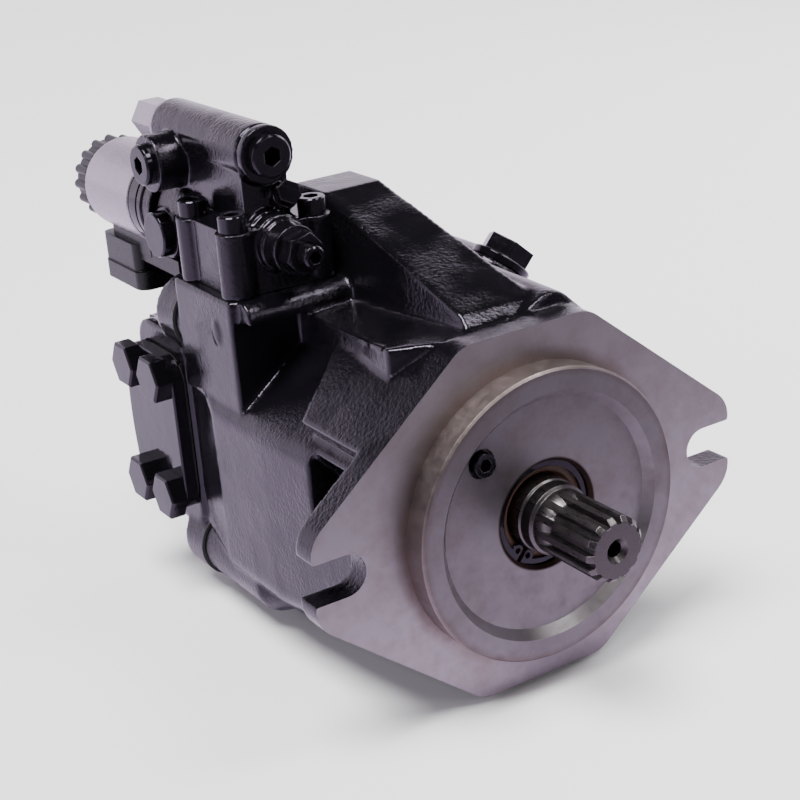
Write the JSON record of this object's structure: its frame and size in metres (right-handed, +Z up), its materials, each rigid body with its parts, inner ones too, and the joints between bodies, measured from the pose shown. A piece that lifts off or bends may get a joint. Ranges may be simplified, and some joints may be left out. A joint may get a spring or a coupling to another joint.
{
  "type": "axial piston pump",
  "caption": "Variable axial piston pump with a two-bolt slotted flange, splined shaft, covered side ports and an electric control valve with a coil on its side.",
  "frame": {"origin": "on the shaft axis, in the mounting face of the flange (the step behind the pilot)", "axes": "-Y points out along the shaft, +Y back along the pump, +X to the right seen from the front, +Z up, towards the control valve"},
  "size_m": [0.17, 0.271, 0.1862],
  "materials": {
    "cast_black": "gloss black paint over rough cast iron",
    "black_oxide": "black oxide steel screws",
    "painted_bolts": "gloss black painted hex bolts",
    "shaft_steel": "ground and phosphated shaft steel",
    "inner_steel": "ground steel inner parts",
    "seal_rubber": "brown nitrile lip seal",
    "gasket_black": "thin coated gasket",
    "bronze": "bearing bronze",
    "block_iron": "nitrided barrel",
    "zinc_silver": "bright zinc plated steel",
    "can_silver": "satin plated coil can",
    "black_plastic": "black glass filled nylon",
    "spring_steel": "spring wire"
  },
  "bodies": {
    "housing_group": {"housing": "cast_black", "port_plate": "cast_black", "gaskets": "gasket_black", "port_plate_screws": "black_oxide", "pressure_port_cover": "painted_bolts", "suction_port_cover": "painted_bolts", "port_cover_bolts": "painted_bolts", "drain_plug": "painted_bolts", "pilot_set_screw": "black_oxide", "shaft_seal": "seal_rubber", "seal_retaining_ring": "black_oxide", "front_bearing_cup": "inner_steel", "rear_bearing_cup": "inner_steel", "valve_plate": "bronze", "cradle_bearings": "bronze", "bias_spring": "spring_steel", "valve_body": "cast_black", "valve_screws": "black_oxide", "valve_plugs": "black_oxide", "spool_end_cap": "zinc_silver", "cross_bore_plug": "black_oxide", "adjusting_screw": "black_oxide", "adjuster_lock_nut": "black_oxide", "spool_spring": "spring_steel", "pressure_spring": "spring_steel", "solenoid_ring": "black_oxide", "solenoid_can": "can_silver", "coil_nut": "black_plastic", "connector": "black_plastic"},
    "rotor": {"drive_shaft": "shaft_steel", "front_bearing_cone": "inner_steel", "rear_bearing_rollers": "inner_steel", "cylinder_block": "block_iron", "retainer_ball": "inner_steel", "block_spring": "spring_steel"},
    "retainer": {"slipper_retainer": "inner_steel"},
    "swashplate": {"swashplate": "inner_steel"},
    "control_piston": {"control_piston": "inner_steel"},
    "bias_piston": {"bias_piston": "inner_steel"},
    "control_spool": {"control_spool": "inner_steel"},
    "pressure_spool": {"pressure_spool": "inner_steel"},
    "piston_1": {"piston_1": "inner_steel"},
    "slipper_1": {"slipper_1": "bronze"},
    "piston_2": {"piston_2": "inner_steel"},
    "slipper_2": {"slipper_2": "bronze"},
    "piston_3": {"piston_3": "inner_steel"},
    "slipper_3": {"slipper_3": "bronze"},
    "piston_4": {"piston_4": "inner_steel"},
    "slipper_4": {"slipper_4": "bronze"},
    "piston_5": {"piston_5": "inner_steel"},
    "slipper_5": {"slipper_5": "bronze"},
    "piston_6": {"piston_6": "inner_steel"},
    "slipper_6": {"slipper_6": "bronze"},
    "piston_7": {"piston_7": "inner_steel"},
    "slipper_7": {"slipper_7": "bronze"},
    "piston_8": {"piston_8": "inner_steel"},
    "slipper_8": {"slipper_8": "bronze"},
    "piston_9": {"piston_9": "inner_steel"},
    "slipper_9": {"slipper_9": "bronze"}
  },
  "joints": [
    {"name": "shaft_spin", "type": "hinge", "parent": "housing_group", "child": "rotor", "pos_m": [0, 0, 0], "axis": [0, 1, 0], "range_deg": [-360, 360]},
    {"name": "swash_tilt", "type": "hinge", "parent": "housing_group", "child": "swashplate", "pos_m": [0, 0.062, 0], "axis": [-1, 0, 0], "range_deg": [0, 16]},
    {"name": "retainer_tilt", "type": "hinge", "parent": "rotor", "child": "retainer", "pos_m": [0, 0.062, 0], "axis": [-1, 0, 0], "range_deg": [0, 17]},
    {"name": "control_piston_slide", "type": "slide", "parent": "housing_group", "child": "control_piston", "axis": [0, 1, 0], "range_m": [0, 0.018]},
    {"name": "bias_piston_slide", "type": "slide", "parent": "housing_group", "child": "bias_piston", "axis": [0, -1, 0], "range_m": [0, 0.015], "deforming": ["bias_spring"]},
    {"name": "control_spool_slide", "type": "slide", "parent": "housing_group", "child": "control_spool", "axis": [0, -1, 0], "range_m": [0, 0.003], "stiffness_N_per_m": 4000, "deforming": ["spool_spring"]},
    {"name": "pressure_spool_slide", "type": "slide", "parent": "housing_group", "child": "pressure_spool", "axis": [0, 1, 0], "range_m": [0, 0.003], "stiffness_N_per_m": 4000, "deforming": ["pressure_spring"]},
    {"name": "piston_1_slide", "type": "slide", "parent": "rotor", "child": "piston_1", "axis": [0, 1, 0], "range_m": [0, 0.00819]},
    {"name": "slipper_1_tilt", "type": "hinge", "parent": "piston_1", "child": "slipper_1", "pos_m": [0, 0.062, 0.0275], "axis": [-1, 0, 0], "range_deg": [0, 17]},
    {"name": "piston_2_slide", "type": "slide", "parent": "rotor", "child": "piston_2", "axis": [0, 1, 0], "range_m": [0, 0.00634]},
    {"name": "slipper_2_tilt", "type": "hinge", "parent": "piston_2", "child": "slipper_2", "pos_m": [-0.01768, 0.062, 0.02107], "axis": [-1, 0, 0], "range_deg": [0, 17]},
    {"name": "piston_3_slide", "type": "slide", "parent": "rotor", "child": "piston_3", "axis": [0, 1, 0], "range_m": [0, 0.00167]},
    {"name": "slipper_3_tilt", "type": "hinge", "parent": "piston_3", "child": "slipper_3", "pos_m": [-0.02708, 0.062, 0.00477], "axis": [-1, 0, 0], "range_deg": [0, 17]},
    {"name": "piston_4_slide", "type": "slide", "parent": "rotor", "child": "piston_4", "axis": [0, 1, 0], "range_m": [-0.00424, 0]},
    {"name": "slipper_4_tilt", "type": "hinge", "parent": "piston_4", "child": "slipper_4", "pos_m": [-0.02382, 0.062, -0.01375], "axis": [-1, 0, 0], "range_deg": [0, 17]},
    {"name": "piston_5_slide", "type": "slide", "parent": "rotor", "child": "piston_5", "axis": [0, 1, 0], "range_m": [-0.00771, 0]},
    {"name": "slipper_5_tilt", "type": "hinge", "parent": "piston_5", "child": "slipper_5", "pos_m": [-0.00941, 0.062, -0.02584], "axis": [-1, 0, 0], "range_deg": [0, 17]},
    {"name": "piston_6_slide", "type": "slide", "parent": "rotor", "child": "piston_6", "axis": [0, 1, 0], "range_m": [-0.00771, 0]},
    {"name": "slipper_6_tilt", "type": "hinge", "parent": "piston_6", "child": "slipper_6", "pos_m": [0.00941, 0.062, -0.02584], "axis": [-1, 0, 0], "range_deg": [0, 17]},
    {"name": "piston_7_slide", "type": "slide", "parent": "rotor", "child": "piston_7", "axis": [0, 1, 0], "range_m": [-0.00424, 0]},
    {"name": "slipper_7_tilt", "type": "hinge", "parent": "piston_7", "child": "slipper_7", "pos_m": [0.02382, 0.062, -0.01375], "axis": [-1, 0, 0], "range_deg": [0, 17]},
    {"name": "piston_8_slide", "type": "slide", "parent": "rotor", "child": "piston_8", "axis": [0, 1, 0], "range_m": [0, 0.00167]},
    {"name": "slipper_8_tilt", "type": "hinge", "parent": "piston_8", "child": "slipper_8", "pos_m": [0.02708, 0.062, 0.00477], "axis": [-1, 0, 0], "range_deg": [0, 17]},
    {"name": "piston_9_slide", "type": "slide", "parent": "rotor", "child": "piston_9", "axis": [0, 1, 0], "range_m": [0, 0.00634]},
    {"name": "slipper_9_tilt", "type": "hinge", "parent": "piston_9", "child": "slipper_9", "pos_m": [0.01768, 0.062, 0.02107], "axis": [-1, 0, 0], "range_deg": [0, 17]}
  ],
  "couplings": [
    {"joint": "retainer_tilt", "follows": "swash_tilt", "ratio": 1},
    {"joint": "control_piston_slide", "follows": "swash_tilt", "m_per_rad": 0.059556},
    {"joint": "bias_piston_slide", "follows": "swash_tilt", "m_per_rad": 0.049288},
    {"joint": "piston_1_slide", "follows": "swash_tilt", "m_per_rad": 0.028238},
    {"joint": "slipper_1_tilt", "follows": "swash_tilt", "ratio": 1},
    {"joint": "piston_2_slide", "follows": "swash_tilt", "m_per_rad": 0.021631},
    {"joint": "slipper_2_tilt", "follows": "swash_tilt", "ratio": 1},
    {"joint": "piston_3_slide", "follows": "swash_tilt", "m_per_rad": 0.004903},
    {"joint": "slipper_3_tilt", "follows": "swash_tilt", "ratio": 1},
    {"joint": "piston_4_slide", "follows": "swash_tilt", "m_per_rad": -0.014119},
    {"joint": "slipper_4_tilt", "follows": "swash_tilt", "ratio": 1},
    {"joint": "piston_5_slide", "follows": "swash_tilt", "m_per_rad": -0.026535},
    {"joint": "slipper_5_tilt", "follows": "swash_tilt", "ratio": 1},
    {"joint": "piston_6_slide", "follows": "swash_tilt", "m_per_rad": -0.026535},
    {"joint": "slipper_6_tilt", "follows": "swash_tilt", "ratio": 1},
    {"joint": "piston_7_slide", "follows": "swash_tilt", "m_per_rad": -0.014119},
    {"joint": "slipper_7_tilt", "follows": "swash_tilt", "ratio": 1},
    {"joint": "piston_8_slide", "follows": "swash_tilt", "m_per_rad": 0.004903},
    {"joint": "slipper_8_tilt", "follows": "swash_tilt", "ratio": 1},
    {"joint": "piston_9_slide", "follows": "swash_tilt", "m_per_rad": 0.021631},
    {"joint": "slipper_9_tilt", "follows": "swash_tilt", "ratio": 1}
  ]
}
